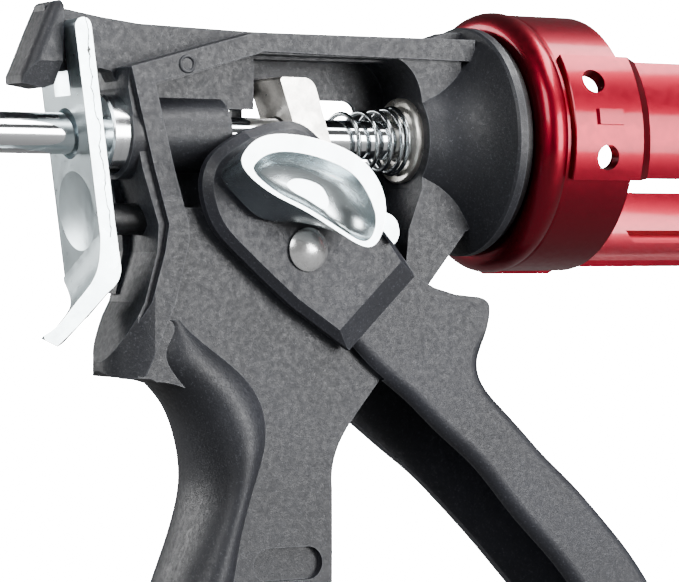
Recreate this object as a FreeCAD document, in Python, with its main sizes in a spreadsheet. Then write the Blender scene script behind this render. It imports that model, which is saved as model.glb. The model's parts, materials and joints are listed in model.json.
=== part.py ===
import FreeCAD, Part

import math
import os

# A trigger caulking gun for tube cartridges: a moulded frame with a pistol grip, a swivelling
# cradle of painted pressed steel, and a push rod driven by a trigger and a gripping plate.
# Frame: +X forward along the push rod, +Z up, origin at the middle of the flange's front face.
# Units are millimetres. Every sub-part is drawn in place, in the rest pose (trigger let go).

VECTOR = FreeCAD.Vector
DOCUMENT = FreeCAD.newDocument("caulking_gun")
PARTS_FOLDER = "parts"

DIMENSIONS = {
    # push rod and the bores it runs in
    "rod_radius": 4.0,
    "rod_rear": -322.0,
    "rod_front": 18.0,
    "rod_hook_bend": 11.0,
    "rod_hook_drop": 34.0,
    "rod_bore_radius": 4.06,
    # moulded frame
    "panel_width": 16.0,
    "rib_width": 18.4,
    "spine_width": 5.0,
    "swell_half_width": 12.8,
    "hook_width": 10.4,
    "flange_radius": 23.75,
    "hub_radius": 17.0,
    "hub_length": 4.2,
    "boss_radius": 7.75,
    "boss_rear": -79.0,
    "boss_front": -59.0,
    "collar_radius": 8.7,
    "collar_rear": -81.1,
    "bush_spigot_radius": 6.0,
    # rear bush and front bush
    "rear_bush_radius": 8.0,
    "rear_bush_rear": -84.9,
    "rear_bush_front": -81.1,
    "front_bush_rear": -15.4,
    "spring_seat_radius": 8.7,
    "spring_seat_thickness": 1.4,
    # pivot and drive pins
    "pivot_x": -45.2,
    "pivot_z": -22.3,
    "pin_radius": 2.5,
    "pin_bore_radius": 2.56,
    "rivet_head_radius": 4.3,
    "rivet_head_height": 2.0,
    "rivet_dome_radius": 6.2,
    "drive_pin_x": -44.2,
    "drive_pin_z": -8.0,
    # trigger
    "trigger_width": 26.0,
    "ear_gap": 19.2,
    "blade_width": 22.0,
    "blade_channel": 17.0,
    # thumb lever
    "lever_inner": 13.4,
    "lever_plate_thickness": 1.5,
    "lever_outer": 23.0,
    "lever_bore_end": 16.7,
    # release plate and its plunger
    "release_width": 18.4,
    "release_slot_width": 6.8,
    "release_slot_floor": 7.2,
    "release_hole_radius": 4.95,
    "release_edge_radius": 1.68,
    "dimple_radius": 7.8,
    "dimple_depth": 0.9,
    "plunger_radius": 3.1,
    "plunger_bore_radius": 3.2,
    "plunger_z": -16.4,
    "plunger_rear": -84.8,
    "plunger_front": -69.0,
    "plunger_bore_floor": -60.0,
    # drive plate and return spring
    "drive_plate_width": 13.0,
    "drive_hole_radius": 4.4,
    "spring_wire_radius": 0.5,
    "spring_rear_radius": 4.95,
    "spring_rear": -34.1,
    "spring_front": -17.1,
    # piston
    "piston_radius": 21.8,
    "piston_rear": 8.2,
    "piston_thickness": 2.0,
    "piston_washer_radius": 9.0,
    "piston_washer_thickness": 1.5,
    "nut_across_flats": 13.0,
    "nut_height": 5.0,
    # swivel and cradle
    "washer_radius": 22.6,
    "washer_thickness": 1.95,
    "cup_rear": 2.3,
    "cup_front": 24.0,
    "cup_radius": 26.8,
    "cup_bore_radius": 25.3,
    "cup_hub_bore": 17.35,
    "keeper_radius": 21.0,
    "keeper_thickness": 1.5,
    "swivel_screw_circle": 11.5,
    "swivel_screw_radius": 1.6,
    "swivel_head_radius": 3.0,
    "swivel_head_height": 1.4,
    "sheet_thickness": 1.4,
    "rail_end": 222.0,
    "nozzle_slot_width": 24.0,
    "rail_hole_radius": 2.6,
    "rail_rivet_radius": 1.6,
}

SIDE_RAIL_START = 142.0
SIDE_RAIL_SWEEP = 55.0
LOWER_RAIL_START = 283.0
LOWER_RAIL_SWEEP = 55.0
CAP_RIVET_X = 216.0
CAP_RIVET_ANGLES = (156.0, 183.0, 297.0, 324.0)
LOADING_GAP_START = -22.0
LOADING_GAP_END = 142.0
NEAR_WALL_EDGE = [(20.0, -91.9), (15.2, -86.5), (5.5, -76.8), (-3.9, -66.5), (-12.3, -59.6), (-20.6, -52.3),
                  (-26.0, -48.3), (-31.4, -43.6)]


def fill_sheet():
    """Put every driving dimension in the spreadsheet, with its alias."""
    sheet = DOCUMENT.addObject("Spreadsheet::Sheet", "Dimensions")
    for row, (alias, value) in enumerate(DIMENSIONS.items(), start=1):
        sheet.set("A%d" % row, alias)
        sheet.set("B%d" % row, str(value))
        sheet.setAlias("B%d" % row, alias)
    DOCUMENT.recompute()


def bind(thing, **expressions):
    """Bind properties of a document object to spreadsheet aliases."""
    for name, expression in expressions.items():
        path = name.replace("__", ".")
        for alias in sorted(DIMENSIONS, key=len, reverse=True):
            marker = "<<%s>>" % alias
            expression = expression.replace("[" + alias + "]", marker)
        for alias in DIMENSIONS:
            expression = expression.replace("<<%s>>" % alias, "Dimensions." + alias)
        thing.setExpression(path, expression)
    return thing


def new_body(name):
    """Start an empty body."""
    return DOCUMENT.addObject("PartDesign::Body", name)


def origin_feature(body, role):
    """Find one plane or axis of a body's own origin."""
    return next(item for item in body.Origin.OriginFeatures if item.Role == role)


def new_sketch(body, name, role="XZ_Plane", offset=None):
    """Add a sketch lying on one of the body's own planes."""
    sketch = body.newObject("Sketcher::SketchObject", name)
    sketch.AttachmentSupport = [(origin_feature(body, role), "")]
    sketch.MapMode = "FlatFace"
    if offset is not None:
        sketch.AttachmentOffset = FreeCAD.Placement(VECTOR(0, 0, offset), FreeCAD.Rotation())
    return sketch


def trace(sketch, runs):
    """Draw a closed outline from runs of points: ("line", points) or ("curve", points).

    It starts from the outline's last point, so naming that point first as well does no harm."""
    pen = VECTOR(runs[-1][1][-1][0], runs[-1][1][-1][1], 0)
    for kind, points in runs:
        ends = [VECTOR(x, y, 0) for x, y in points]
        if ends[0].distanceToPoint(pen) < 1e-6:
            ends = ends[1:]
        if kind == "line":
            for end in ends:
                sketch.addGeometry(Part.LineSegment(pen, end), False)
                pen = end
        else:
            curve = Part.BSplineCurve()
            curve.interpolate([pen] + ends)
            sketch.addGeometry(curve, False)
            pen = ends[-1]
    return sketch


def extrude(body, kind, name, sketch, length=None, symmetric=True, reverse=False):
    """Pad or pocket a sketch; a length of None cuts through all."""
    feature = body.newObject("PartDesign::" + kind, name)
    feature.Profile = sketch
    feature.SideType = "Symmetric" if symmetric else "One side"
    feature.Reversed = reverse
    if length is None:
        feature.Type = "ThroughAll"
    else:
        bind(feature, Length=length)
    sketch.Visibility = False
    body.Tip = feature
    return feature


def slab(name, runs, width, role="XZ_Plane"):
    """A body padded both ways from its outline."""
    body = new_body(name)
    sketch = trace(new_sketch(body, name + "_outline", role), runs)
    extrude(body, "Pad", name + "_pad", sketch, width)
    return body


def turned(name, runs, angle=360.0):
    """A body revolved about the rod's axis from an (x, radius) outline."""
    body = new_body(name)
    sketch = trace(new_sketch(body, name + "_profile"), runs)
    turn = body.newObject("PartDesign::Revolution", name + "_turn")
    turn.Profile = sketch
    turn.ReferenceAxis = (origin_feature(body, "X_Axis"), [""])
    turn.Angle = angle
    sketch.Visibility = False
    body.Tip = turn
    return body


def rod_along(name, axis, radius, length, base):
    """A cylinder along a row axis, from its base point. Numbers are sheet expressions."""
    turns = {"X": (VECTOR(0, 1, 0), 90), "Y": (VECTOR(1, 0, 0), -90), "Z": (VECTOR(0, 0, 1), 0)}
    cylinder = DOCUMENT.addObject("Part::Cylinder", name)
    cylinder.Placement = FreeCAD.Placement(VECTOR(0, 0, 0), FreeCAD.Rotation(*turns[axis]))
    bind(cylinder, Radius=radius, Height=length)
    bind(cylinder, **{"Placement__Base__" + key: value for key, value in zip("xyz", base)})
    return cylinder


def fuse(name, things):
    """Join several document objects into one."""
    joined = DOCUMENT.addObject("Part::MultiFuse", name)
    joined.Shapes = things
    joined.Refine = True
    return joined


def cut(name, base, tools):
    """Take one or more tools away from a base."""
    tool = tools[0] if len(tools) == 1 else fuse(name + "_tools", tools)
    result = DOCUMENT.addObject("Part::Cut", name)
    result.Base = base
    result.Tool = tool
    result.Refine = True
    return result


def soften(name, base, radius, chooser, kind="Part::Fillet"):
    """Fillet or chamfer the edges of a shape that the chooser picks."""
    DOCUMENT.recompute()
    feature = DOCUMENT.addObject(kind, name)
    feature.Base = base
    picked = [i for i, edge in enumerate(base.Shape.Edges, start=1) if chooser(edge)]
    feature.Edges = [(i, radius, radius) for i in picked]
    return feature


def around_x(thing, degrees):
    """Turn a revolved object so its sector starts at an angle measured from +Y towards +Z.

    A revolution starts in the upright plane, which is at 90 degrees."""
    turn = FreeCAD.Rotation(VECTOR(1, 0, 0), degrees - 90)
    thing.Placement = FreeCAD.Placement(VECTOR(0, 0, 0), turn)
    return thing


def frame_panel():
    """The flat central panel: rear leg, pivot plate, lower strut and the core of the grip."""
    outline = [
        ("line", [(-81.6, 12.8), (-54.5, 20.1), (-6.0, 20.3), (-6.0, -12.6), (-2.2, -17.4)]),
        ("line", [(-4.9, -18.6), (-14.1, -29.8)]),
        ("curve", [(-18.5, -38.5), (-23.5, -46.0), (-30.0, -54.0), (-34.9, -61.0), (-36.6, -70.0)]),
        ("curve", [(-36.6, -88.0), (-37.5, -104.0), (-41.0, -121.0)]),
        ("line", [(-68.0, -123.5)]),
        ("curve", [(-66.5, -104.0), (-62.0, -86.0), (-59.0, -74.0), (-58.5, -62.0), (-64.0, -53.0),
                   (-76.0, -47.9)]),
        ("curve", [(-80.6, -47.2), (-84.4, -46.3), (-84.9, -44.6)]),
        ("line", [(-78.4, -32.5), (-75.7, -22.8), (-75.4, -17.5), (-78.9, -6.6), (-81.9, 8.8)]),
        ("line", [(-81.6, 12.8)]),
    ]
    return slab("frame_panel", outline, "[panel_width]")


def frame_rib():
    """The raised rib round the window, down the rear leg to the spur."""
    outline = [
        ("line", [(-81.8, 12.8), (-54.5, 20.3), (-3.4, 20.6), (-3.4, 16.2), (-35.4, 16.4)]),
        ("line", [(-52.9, 16.6), (-76.7, 9.8), (-72.6, -6.6), (-69.4, -17.5), (-69.3, -20.4)]),
        ("line", [(-72.2, -32.4), (-75.0, -38.5), (-78.5, -46.8), (-84.4, -46.0), (-84.9, -44.6)]),
        ("line", [(-77.4, -32.5), (-74.6, -22.8), (-73.7, -17.5), (-76.9, -6.6), (-81.8, 12.8)]),
    ]
    return slab("frame_rib", outline, "[rib_width]")


def leg_flange():
    """The left side of the rear leg, which stands a little further back than the rest of it."""
    outline = [
        ("line", [(-78.0, 2.0), (-81.0, 2.0), (-79.9, -6.6), (-79.2, -11.0), (-77.2, -18.0), (-77.0, -22.6)]),
        ("line", [(-78.6, -31.0), (-75.0, -31.0), (-73.0, -20.0), (-78.0, 2.0)]),
    ]
    flange = slab("leg_flange", outline, "3.6")
    flange.Placement = FreeCAD.Placement(VECTOR(0, DIMENSIONS["panel_width"] / 2 - 1.8, 0), FreeCAD.Rotation())
    return flange


def spur_trim():
    """What is cut away round the spur, which has a rounded nose seen from above."""
    outline = [
        ("line", [(-96.0, -14.0), (-73.0, -14.0), (-73.0, -9.6)]),
        ("curve", [(-78.6, -8.6), (-82.8, -5.6), (-84.7, 0.0), (-82.8, 5.6), (-78.6, 8.6), (-73.0, 9.6)]),
        ("line", [(-73.0, 14.0), (-96.0, 14.0), (-96.0, -14.0)]),
    ]
    body = new_body("spur_trim")
    sketch = trace(new_sketch(body, "spur_trim_outline", "XY_Plane", -52.0), outline)
    extrude(body, "Pad", "spur_trim_pad", sketch, "22", symmetric=False)
    return body


def top_spine():
    """The thin web along the top that carries the rear hook."""
    outline = [
        ("line", [(-97.0, 24.4), (-92.5, 23.8), (-85.3, 22.6), (-76.9, 21.6), (-66.5, 21.3)]),
        ("line", [(-51.9, 20.9), (-12.5, 20.9), (-9.8, 21.2), (-5.7, 22.5), (-2.0, 22.5)]),
        ("line", [(-2.0, 16.0), (-51.6, 15.5), (-51.6, 8.6), (-56.5, 7.4), (-77.0, 7.4), (-78.6, 13.1)]),
        ("line", [(-81.8, 10.2), (-82.9, 12.2), (-85.0, 12.7), (-97.0, 11.5), (-97.0, 24.4)]),
    ]
    return slab("top_spine", outline, "[spine_width]")


def hook_bevel(side):
    """The slope that narrows the lower third of the rear hook on one side."""
    outline = [
        ("line", [(side * 7.0, 13.6), (side * 5.2, 13.6), (side * 3.2, 7.0), (side * 7.0, 7.0)]),
        ("line", [(side * 7.0, 13.6)]),
    ]
    name = "hook_bevel_left" if side > 0 else "hook_bevel_right"
    body = slab(name, outline, "40", "YZ_Plane")
    body.Placement = FreeCAD.Placement(VECTOR(-100, 0, 0), FreeCAD.Rotation())
    return body


def rear_hook():
    """The wedge-shaped hook behind the release plate, with rounded rear corners."""
    outline = [
        ("line", [(-94.8, 25.3), (-96.2, 24.8)]),
        ("curve", [(-97.8, 21.6), (-100.2, 16.0), (-102.5, 10.8)]),
        ("line", [(-102.4, 9.3), (-97.6, 8.5), (-95.6, 9.2), (-94.4, 13.8), (-94.1, 24.2), (-94.8, 25.3)]),
    ]
    block = slab("rear_hook_block", outline, "[hook_width]")
    half = DIMENSIONS["hook_width"] / 2

    def rear_corner(edge):
        middle = edge.CenterOfMass
        return abs(abs(middle.y) - half) < 0.01 and middle.x < -95.9 and middle.z > 9.5

    rounded = soften("rear_hook_rounded", block, 2.2, rear_corner)
    return cut("rear_hook", rounded, [hook_bevel(1), hook_bevel(-1)])


def neck():
    """The trumpet neck, flange and hub that carry the swivelling cradle."""
    rear, flange, hub, front = (DIMENSIONS[name] for name in
                                ("front_bush_rear", "flange_radius", "hub_radius", "hub_length"))
    profile = [
        ("line", [(rear, 0.0), (rear, 11.0), (-13.6, 11.6)]),
        ("curve", [(-10.0, 13.1), (-6.5, 15.9), (-3.6, 20.4), (-2.2, flange - 0.45)]),
        ("line", [(-1.7, flange), (0.0, flange), (0.0, hub), (front, hub), (front, 0.0), (rear, 0.0)]),
    ]
    return turned("neck", profile)


def palm_swell():
    """The rounded palm swell, lofted through ellipses down the grip."""
    stations = [
        (-36.0, -72.0, 4.0, 0.65), (-41.0, -69.3, 7.7, 0.74), (-46.0, -65.4, 10.5, 0.84),
        (-52.0, -60.4, 9.6, 0.92), (-60.0, -58.0, 7.8, 1.0), (-69.0, -58.8, 5.4, 0.98),
        (-78.0, -61.2, 5.2, 0.95), (-88.0, -64.1, 6.7, 0.94), (-100.0, -67.5, 8.2, 0.94),
        (-112.0, -69.8, 9.4, 0.96), (-122.0, -70.4, 10.0, 0.98),
    ]
    sections = []
    for number, (height, middle, half_depth, width_share) in enumerate(stations, start=1):
        ring = DOCUMENT.addObject("Part::Ellipse", "swell_ring_%d" % number)
        bind(ring, MajorRadius="[swell_half_width] * %.2f" % width_share, MinorRadius=str(half_depth))
        turn = FreeCAD.Rotation(VECTOR(0, 0, 1), 90)
        ring.Placement = FreeCAD.Placement(VECTOR(middle, 0, height), turn)
        sections.append(ring)
    loft = DOCUMENT.addObject("Part::Loft", "palm_swell")
    loft.Sections = sections
    loft.Solid = True
    loft.Ruled = False
    return loft


def window_cut():
    """The window that the drive plate, spring and rod sit in, open on the near side."""
    outline = [
        ("line", [(-51.5, 16.2), (-21.0, 16.2)]),
        ("curve", [(-17.6, 13.6), (-15.6, 9.0), (-15.4, 5.0)]),
        ("line", [(-15.4, -9.9), (-18.6, -18.3), (-19.2, -25.0), (-31.0, -28.5), (-36.5, -14.2)]),
        ("line", [(-51.5, -14.2), (-51.5, 16.2)]),
    ]
    body = new_body("window_cut")
    sketch = trace(new_sketch(body, "window_cut_outline"), outline)
    extrude(body, "Pad", "window_cut_pad", sketch, "24", symmetric=False, reverse=True)
    body.Placement = FreeCAD.Placement(VECTOR(0, -17.2, 0), FreeCAD.Rotation())
    return body


def far_window():
    """The smaller opening through the window's far wall, round the rod and spring."""
    outline = [
        ("line", [(-49.0, 8.2), (-25.0, 8.2)]),
        ("curve", [(-23.2, 7.4), (-22.4, 5.6)]),
        ("line", [(-22.4, -7.8), (-36.8, -14.0), (-49.0, -14.0), (-49.0, 8.2)]),
    ]
    return slab("far_window", outline, "[trigger_width]")


def window_recess(side):
    """One of the two shallow recesses beside the rear boss, either side of the spine."""
    outline = [
        ("line", [(-51.4, 16.2), (-53.0, 16.3), (-76.0, 9.4), (-72.2, -6.6), (-70.4, -14.2)]),
        ("line", [(-51.4, -14.2), (-51.4, 16.2)]),
    ]
    name = "window_recess_left" if side > 0 else "window_recess_right"
    body = new_body(name)
    sketch = trace(new_sketch(body, name + "_outline"), outline)
    extrude(body, "Pad", name + "_pad", sketch, "[rib_width]", symmetric=False, reverse=side > 0)
    offset = 2.5 if side > 0 else -2.5
    body.Placement = FreeCAD.Placement(VECTOR(0, offset, 0), FreeCAD.Rotation())
    return body


def grip_recess(side):
    """The long round-ended recess low on each flat of the grip."""
    name = "grip_recess_left" if side > 0 else "grip_recess_right"
    body = new_body(name)
    sketch = new_sketch(body, name + "_outline")
    rear, front, middle, radius = -51.2, -42.2, -84.7, 3.3
    centre_rear = VECTOR(rear, middle, 0)
    centre_front = VECTOR(front, middle, 0)
    up = VECTOR(0, radius, 0)
    sketch.addGeometry(Part.LineSegment(centre_rear + up, centre_front + up), False)
    sketch.addGeometry(Part.LineSegment(centre_rear - up, centre_front - up), False)
    normal = VECTOR(0, 0, 1)
    right = Part.Circle(centre_front, normal, radius)
    left = Part.Circle(centre_rear, normal, radius)
    sketch.addGeometry(Part.ArcOfCircle(right, -math.pi / 2, math.pi / 2), False)
    sketch.addGeometry(Part.ArcOfCircle(left, math.pi / 2, 3 * math.pi / 2), False)
    extrude(body, "Pad", name + "_pad", sketch, "[spine_width]")
    body.Placement = FreeCAD.Placement(VECTOR(0, side * 9.1, 0), FreeCAD.Rotation())
    return body


def body_frame():
    """The whole moulded frame, with every bore cut."""
    solid_panel = cut("windowed_panel", fuse("panel_and_rib", [frame_panel(), frame_rib()]),
                      [window_cut(), far_window(), window_recess(1), window_recess(-1), spur_trim()])
    boss = rod_along("rear_boss", "X", "[boss_radius]", "[boss_front] - [boss_rear]",
                     ("[boss_rear]", "0", "0"))
    collar = rod_along("rear_collar", "X", "[collar_radius]", "5", ("[collar_rear]", "0", "0"))
    ring = DOCUMENT.addObject("Part::Torus", "ejector_ring")
    ring.Radius1 = 1.5
    ring.Radius2 = 0.35
    ring.Placement = FreeCAD.Placement(VECTOR(-69.8, -9.2, 13.6), FreeCAD.Rotation(VECTOR(1, 0, 0), 90))
    whole = fuse("frame_whole", [solid_panel, top_spine(), rear_hook(), neck(), palm_swell(),
                                 boss, collar, ring, leg_flange()])
    bores = [
        rod_along("rear_bush_bore", "X", "[bush_spigot_radius]", "32", ("-82", "0", "0")),
        rod_along("front_bush_bore", "X", "[bush_spigot_radius]", "24", ("-17", "0", "0")),
        rod_along("spring_pocket", "X", "[spring_seat_radius] + 0.3", "8", ("-23.4", "0", "0")),
        rod_along("pivot_bore", "Y", "[pin_radius]", "40", ("[pivot_x]", "-20", "[pivot_z]")),
        rod_along("plunger_bore", "X", "[plunger_bore_radius]", "[plunger_bore_floor] + 82",
                  ("-82", "0", "[plunger_z]")),
        rod_along("hang_bore", "Y", "3.5", "40", ("-58", "-20", "-112")),
        grip_recess(1),
        grip_recess(-1),
    ]
    for number in range(3):
        bores.append(screw_cylinder("screw_bore", number, "[swivel_screw_radius]", "11", "-6.5"))
    return cut("body_frame", whole, bores)


def rear_bush():
    """The plated bush that stands out of the rear leg round the rod."""
    bore, outer, spigot = (DIMENSIONS[name] for name in
                           ("rod_bore_radius", "rear_bush_radius", "bush_spigot_radius"))
    rear, step, front = (DIMENSIONS[name] for name in
                         ("rear_bush_rear", "rear_bush_front", "boss_front"))
    profile = [
        ("line", [(rear, bore), (rear, outer - 0.4), (rear + 0.4, outer), (step, outer)]),
        ("line", [(step, spigot), (front, spigot), (front, bore), (rear, bore)]),
    ]
    return turned("rear_bush", profile)


def front_bush():
    """The bush in the neck that guides the rod at the front."""
    bore, spigot = DIMENSIONS["rod_bore_radius"], DIMENSIONS["bush_spigot_radius"]
    rear, front = DIMENSIONS["front_bush_rear"], DIMENSIONS["hub_length"]
    profile = [
        ("line", [(rear, bore), (rear, spigot), (front, spigot), (front, bore), (rear, bore)]),
    ]
    return turned("front_bush", profile)


def spring_seat():
    """The washer that the front of the return spring bears on."""
    outer = DIMENSIONS["spring_seat_radius"]
    front = DIMENSIONS["front_bush_rear"]
    rear = front - DIMENSIONS["spring_seat_thickness"]
    bore = DIMENSIONS["drive_hole_radius"]
    profile = [
        ("line", [(rear, bore), (rear, outer - 0.3), (rear + 0.3, outer), (front, outer)]),
        ("line", [(front, bore), (rear, bore)]),
    ]
    return turned("spring_seat", profile)


def domed_rivet(name, x_alias, z_alias, reach):
    """A pin across the gun with a domed head at both ends, its shank ending at +/- reach."""
    shank = rod_along(name + "_shank", "Y", "[pin_radius]", str(2 * reach + 0.4),
                      (x_alias, str(-reach - 0.2), z_alias))
    pieces = [shank]
    height = DIMENSIONS["rivet_head_height"]
    dome_radius = DIMENSIONS["rivet_dome_radius"]
    for side in (-1, 1):
        dome = DOCUMENT.addObject("Part::Sphere", "%s_dome_%d" % (name, side + 1))
        centre = side * (reach + height - dome_radius)
        bind(dome, Radius="[rivet_dome_radius]", Placement__Base__x=x_alias,
             Placement__Base__y=str(centre), Placement__Base__z=z_alias)
        edge = rod_along("%s_head_%d" % (name, side + 1), "Y", "[rivet_head_radius]",
                         "[rivet_head_height] + 0.4",
                         (x_alias, str(reach if side > 0 else -reach - height - 0.4), z_alias))
        head = DOCUMENT.addObject("Part::Common", "%s_cap_%d" % (name, side + 1))
        head.Base = dome
        head.Tool = edge
        pieces.append(head)
    return fuse(name, pieces)


def trigger_pin():
    """The domed rivet that the trigger turns on."""
    reach = DIMENSIONS["trigger_width"] / 2 + 0.35
    return domed_rivet("trigger_pin", "[pivot_x]", "[pivot_z]", reach)


def trigger_ears():
    """The wide head of the trigger, before its inside is cleared."""
    outline = [
        ("curve", [(-58.5, 0.8), (-54.6, 1.9), (-49.6, 2.9), (-46.6, 2.7), (-42.3, 0.3), (-36.0, -6.0)]),
        ("line", [(-24.8, -20.4), (-19.2, -27.8), (-34.5, -42.4), (-48.0, -33.4)]),
        ("curve", [(-55.0, -27.6), (-60.0, -23.2), (-64.8, -18.4), (-67.2, -13.1), (-67.6, -8.6),
                   (-66.0, -4.6), (-62.8, -1.8), (-58.5, 0.8)]),
    ]
    ears = slab("trigger_ears_block", outline, "[trigger_width]")

    def outer_rim(edge):
        middle = edge.CenterOfMass
        return abs(abs(middle.y) - 13.0) < 0.01

    rimmed = soften("trigger_ears_rimmed", ears, 1.6, outer_rim, "Part::Chamfer")
    return cut("trigger_ears", rimmed, [ear_ramp(1), ear_ramp(-1)])


def ear_ramp(side):
    """What is cut off an ear where it slopes down to the narrower blade."""
    name = "ear_ramp_left" if side > 0 else "ear_ramp_right"
    ear = side * (DIMENSIONS["trigger_width"] / 2 + 0.4)
    blade = side * DIMENSIONS["blade_width"] / 2
    outline = [
        ("line", [(6.6, ear), (-8.0, ear), (-8.0, blade), (0.0, blade), (6.6, ear)]),
    ]
    body = slab(name, outline, "40", "XY_Plane")
    across_band = FreeCAD.Rotation(VECTOR(0, 1, 0), -133.6)
    body.Placement = FreeCAD.Placement(VECTOR(-26.1, 0, -34.8), across_band)
    return body


def trigger_blade():
    """The blade of the trigger with its finger spur, before its inside is cleared."""
    outline = [
        ("line", [(-30.0, -16.0), (-24.8, -20.4), (-18.4, -27.9), (-14.4, -30.0), (-9.4, -31.4)]),
        ("line", [(-4.9, -31.9)]),
        ("curve", [(-2.6, -32.3), (-1.2, -33.3), (-0.9, -35.0), (-1.4, -37.9), (-2.5, -41.7), (-2.8, -45.1)]),
        ("curve", [(-2.4, -48.2), (-0.8, -50.9), (2.3, -54.1), (7.0, -58.5), (13.5, -64.8), (21.3, -71.6),
                   (28.2, -78.4), (34.1, -84.6), (40.9, -93.4), (46.8, -103.5), (50.8, -114.0)]),
        ("curve", [(49.4, -120.0), (43.4, -122.4), (36.6, -118.6)]),
        ("curve", [(27.6, -102.4)] + NEAR_WALL_EDGE),
        ("line", [(-38.0, -37.0), (-30.0, -16.0)]),
    ]
    blade = slab("trigger_blade_block", outline, "[blade_width]")

    def outer_rim(edge):
        middle = edge.CenterOfMass
        outer = abs(abs(middle.y) - DIMENSIONS["blade_width"] / 2) < 0.01
        in_front = middle.x + 0.9 * middle.z > -55.0
        return outer and in_front and middle.x > -16.0 and middle.z < -46.0

    return soften("trigger_blade", blade, 2.6, outer_rim)


def far_wall():
    """The left wall of the blade, which reaches further back towards the grip than the right one."""
    outline = [
        ("line", [(-4.0, -58.0), (41.0, -100.0), (40.0, -121.0)]),
        ("curve", [(33.5, -118.4), (26.2, -104.6), (17.5, -93.7), (9.1, -84.7), (0.4, -76.1), (-8.2, -68.4),
                   (-13.9, -64.2), (-20.7, -58.9), (-29.6, -51.4), (-34.0, -44.0)]),
        ("line", [(-26.0, -42.0), (-4.0, -58.0)]),
    ]
    thickness = (DIMENSIONS["blade_width"] - DIMENSIONS["blade_channel"]) / 2
    middle = (DIMENSIONS["blade_width"] + DIMENSIONS["blade_channel"]) / 4
    wall = slab("trigger_far_wall", outline, str(thickness))
    wall.Placement = FreeCAD.Placement(VECTOR(0, middle, 0), FreeCAD.Rotation())
    return wall


def trigger_channel():
    """The hollow down the inside of the blade, open towards the grip."""
    outline = [
        ("line", [(-14.0, -34.0), (-8.0, -35.0), (-4.6, -35.8), (-5.0, -41.4), (-6.0, -45.6)]),
        ("curve", [(-5.4, -49.6), (-3.6, -53.4), (-0.4, -56.6), (4.0, -60.8), (10.5, -67.2), (18.0, -74.0),
                   (24.8, -80.8), (30.6, -87.0), (37.2, -95.6), (42.8, -105.2), (45.6, -113.0)]),
        ("line", [(39.5, -115.5), (22.0, -115.5), (-60.0, -60.0), (-60.0, -33.5), (-14.0, -34.0)]),
    ]
    return slab("trigger_channel", outline, "[blade_channel]")


def trigger():
    """The whole trigger: two ears, a channel-section blade and its pin holes."""
    outline = [
        ("line", [(-80.0, 12.0), (-12.5, 12.0), (-12.5, -33.4), (-24.0, -48.0), (-40.0, -56.0)]),
        ("line", [(-80.0, -30.0), (-80.0, 12.0)]),
    ]
    ear_gap = slab("trigger_ear_gap", outline, "[ear_gap]")
    bores = [
        rod_along("trigger_pivot_bore", "Y", "[pin_bore_radius]", "40",
                  ("[pivot_x]", "-20", "[pivot_z]")),
        rod_along("trigger_drive_bore", "Y", "[pin_radius]", "40",
                  ("[drive_pin_x]", "-20", "[drive_pin_z]")),
    ]
    whole = fuse("trigger_whole", [trigger_ears(), trigger_blade(), far_wall()])
    return cut("trigger", whole, [ear_gap, trigger_channel()] + bores)


def drive_pin():
    """The cross pin in the trigger's ears that pushes the drive plate."""
    return rod_along("drive_pin", "Y", "[pin_radius]", "29.7", ("[drive_pin_x]", "-16.6", "[drive_pin_z]"))


def lever_ring(body, name, offset, points):
    """One closed smooth outline of the thumb lever, at a distance out from the middle plane."""
    sketch = new_sketch(body, name, offset=offset)
    curve = Part.BSplineCurve()
    curve.interpolate([VECTOR(x, z, 0) for x, z in points], PeriodicFlag=True)
    sketch.addGeometry(curve, False)
    sketch.Visibility = False
    return sketch


def shrunk(points, share, centre):
    """An outline drawn in towards a centre."""
    return [(centre[0] + (x - centre[0]) * share, centre[1] + (z - centre[1]) * share) for x, z in points]


def loft_through(body, kind, name, rings):
    """An additive or subtractive loft through a list of sketches."""
    loft = body.newObject("PartDesign::" + kind, name)
    loft.Profile = rings[0]
    loft.Sections = rings[1:]
    body.Tip = loft
    return loft


def thumb_lever():
    """The formed steel scoop that turns on the drive pin, outside the near ear."""
    base = [(-65.0, -6.6), (-60.5, -3.4), (-53.0, -2.8), (-45.0, -4.4), (-39.4, -8.0), (-37.0, -12.6),
            (-38.2, -16.0), (-43.0, -16.9), (-50.0, -17.0), (-56.6, -16.2), (-62.4, -11.8)]
    rim = [(-65.0, -4.2), (-61.6, -1.1), (-54.6, -0.2), (-46.0, -1.6), (-38.6, -4.9), (-34.2, -10.2),
           (-33.6, -17.6), (-36.2, -21.6), (-41.6, -20.2), (-52.0, -14.6), (-62.2, -9.4)]
    mouth = [(-62.8, -6.0), (-60.4, -4.2), (-54.6, -3.4), (-46.8, -4.8), (-40.0, -8.0), (-36.6, -12.4),
             (-35.4, -18.0), (-37.0, -20.6), (-41.8, -19.4), (-52.0, -13.9), (-61.0, -9.2)]
    deepest = (-46.5, -11.2)
    inner = DIMENSIONS["lever_inner"] + DIMENSIONS["lever_plate_thickness"]
    outer = DIMENSIONS["lever_outer"]
    body = new_body("lever_bowl")
    outside = [lever_ring(body, "lever_base", inner, base), lever_ring(body, "lever_rim", outer, rim)]
    loft_through(body, "AdditiveLoft", "lever_loft", outside)
    depths = [(outer + 0.6, 1.0), (21.6, 0.94), (19.4, 0.82), (17.8, 0.62), (17.0, 0.34)]
    hollow = [lever_ring(body, "lever_hollow_%d" % number, depth, shrunk(mouth, share, deepest))
              for number, (depth, share) in enumerate(depths)]
    loft_through(body, "SubtractiveLoft", "lever_scoop", hollow)
    return cut("thumb_lever", body, [lever_bore("lever_bore")])


def lever_bore(name):
    """The blind bore in the lever for the end of the drive pin."""
    return rod_along(name, "Y", "[pin_bore_radius]", "4",
                     ("[drive_pin_x]", "-[lever_bore_end]", "[drive_pin_z]"))


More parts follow.
